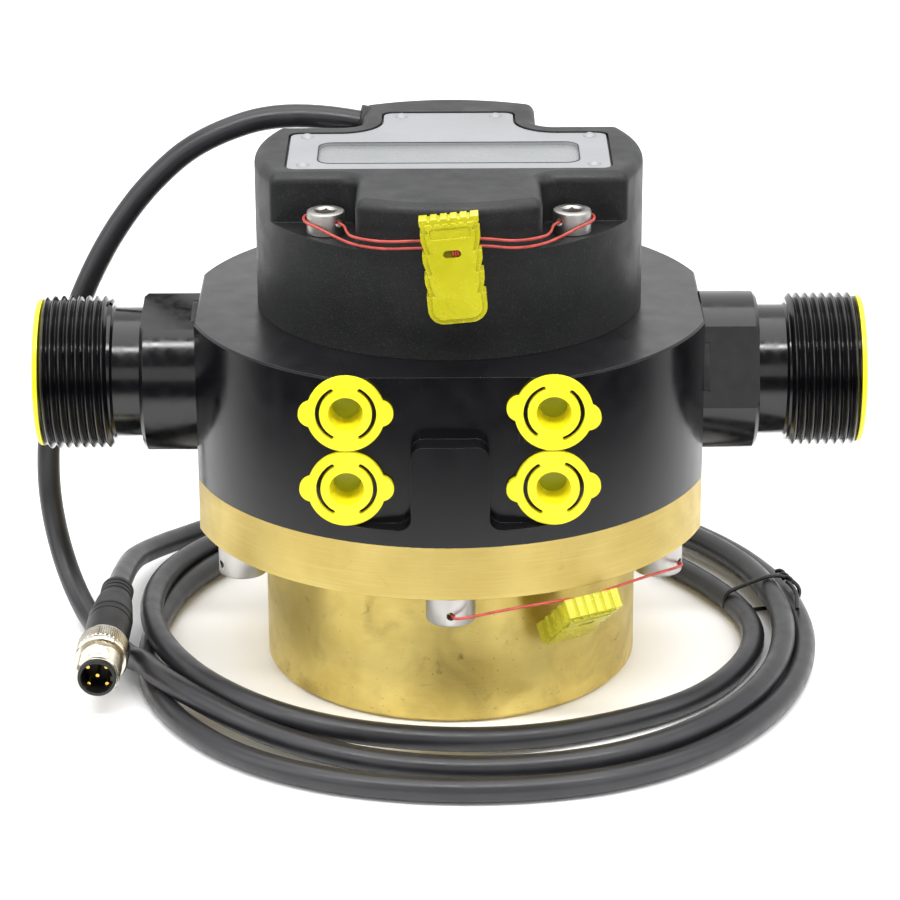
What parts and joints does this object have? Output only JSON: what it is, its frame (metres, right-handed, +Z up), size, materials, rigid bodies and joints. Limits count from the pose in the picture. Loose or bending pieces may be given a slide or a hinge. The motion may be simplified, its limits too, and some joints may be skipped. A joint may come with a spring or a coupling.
{
  "type": "diesel flow meter",
  "caption": "Round fuel flow meter with a brass base, black housing, threaded ports under yellow caps, a display cover and a coiled signal cable.",
  "frame": {"origin": "centre of the underside of the brass base", "axes": "+X from inlet to outlet, -Y out of the mounting flat, +Z up through the display"},
  "size_m": [0.231, 0.2121, 0.1479],
  "materials": {
    "brass": "satin, mottled",
    "black_anodised": "black anodised aluminium",
    "stainless": "satin",
    "black_plastic": "grained",
    "yellow_plastic": "smooth",
    "clear_yellow": "translucent",
    "red_plastic": "smooth",
    "silver_plate": "satin",
    "clear_lens": "clear",
    "display_grey": "smooth",
    "board_green": "solder resist",
    "battery_sleeve": "smooth",
    "hard_carbon": "machined",
    "bronze": "machined",
    "magnet": "plated",
    "black_rubber": "matte",
    "cable_jacket": "satin",
    "red_wire": "coated wire",
    "tie_wire": "coated wire",
    "nickel": "nickel plated",
    "gold": "gold plated"
  },
  "bodies": {
    "meter": {"base_cup": "brass", "housing_seal": "black_rubber", "flange_screws": "stainless", "housing": "black_anodised", "inlet_fitting": "black_anodised", "outlet_fitting": "black_anodised", "fitting_seals": "black_rubber", "inlet_strainer": "stainless", "chamber_liner": "hard_carbon", "chamber_cover": "hard_carbon", "partition_plate": "stainless", "bearing_bridge": "stainless", "shaft_bush": "bronze", "top_cover": "black_plastic", "cover_gasket": "black_rubber", "cover_screws": "stainless", "faceplate": "silver_plate", "faceplate_rivets": "silver_plate", "display_window": "clear_lens", "display_module": "display_grey", "circuit_board": "board_green", "board_standoffs": "nickel", "field_sensor": "hard_carbon", "battery": "battery_sleeve", "cable_grommet": "black_rubber", "cable_lead": "cable_jacket", "cable_coil": "cable_jacket", "cable_tail": "cable_jacket", "cable_tie": "tie_wire", "connector_body": "black_plastic", "connector_insert": "black_plastic", "connector_pins": "gold", "upper_seal_tag": "clear_yellow", "upper_seal_rotor": "red_plastic", "upper_seal_wire": "red_wire", "lower_seal_wire": "red_wire"},
    "crank": {"piston_crank": "stainless", "drive_magnet": "magnet"},
    "piston": {"ring_piston": "hard_carbon"},
    "nut": {"connector_nut": "nickel"},
    "inlet_cap": {"inlet_cap": "yellow_plastic"},
    "outlet_cap": {"outlet_cap": "yellow_plastic"},
    "upper_left_plug": {"upper_left_plug": "yellow_plastic"},
    "lower_left_plug": {"lower_left_plug": "yellow_plastic"},
    "upper_right_plug": {"upper_right_plug": "yellow_plastic"},
    "lower_right_plug": {"lower_right_plug": "yellow_plastic"},
    "lower_tag": {"lower_seal_tag": "clear_yellow", "lower_seal_rotor": "red_plastic"}
  },
  "joints": [
    {"name": "crank_turn", "type": "hinge", "parent": "meter", "child": "crank", "pos_m": [0, 0, 0.075], "axis": [0, 0, 1], "continuous": true},
    {"name": "piston_orbit", "type": "hinge", "parent": "crank", "child": "piston", "pos_m": [0.006, 0, 0.04], "axis": [0, 0, 1], "continuous": true},
    {"name": "nut_turn", "type": "hinge", "parent": "meter", "child": "nut", "pos_m": [-0.09488, -0.03321, 0.01282], "axis": [0.0146, 0.9993, 0.0347], "continuous": true},
    {"name": "inlet_cap_pull", "type": "slide", "parent": "meter", "child": "inlet_cap", "axis": [-1, 0, 0], "range_m": [0, 0.03]},
    {"name": "outlet_cap_pull", "type": "slide", "parent": "meter", "child": "outlet_cap", "axis": [1, 0, 0], "range_m": [0, 0.03]},
    {"name": "lower_tag_swing", "type": "hinge", "parent": "meter", "child": "lower_tag", "pos_m": [0.03461, -0.059, 0.0379], "axis": [-0.9154, -0.3974, -0.0644], "range_deg": [0, 20]},
    {"name": "upper_left_plug_pull", "type": "slide", "parent": "meter", "child": "upper_left_plug", "axis": [0, -1, 0], "range_m": [0, 0.03]},
    {"name": "lower_left_plug_pull", "type": "slide", "parent": "meter", "child": "lower_left_plug", "axis": [0, -1, 0], "range_m": [0, 0.03]},
    {"name": "upper_right_plug_pull", "type": "slide", "parent": "meter", "child": "upper_right_plug", "axis": [0, -1, 0], "range_m": [0, 0.03]},
    {"name": "lower_right_plug_pull", "type": "slide", "parent": "meter", "child": "lower_right_plug", "axis": [0, -1, 0], "range_m": [0, 0.03]}
  ],
  "couplings": [
    {"joint": "piston_orbit", "follows": "crank_turn", "ratio": -1}
  ]
}
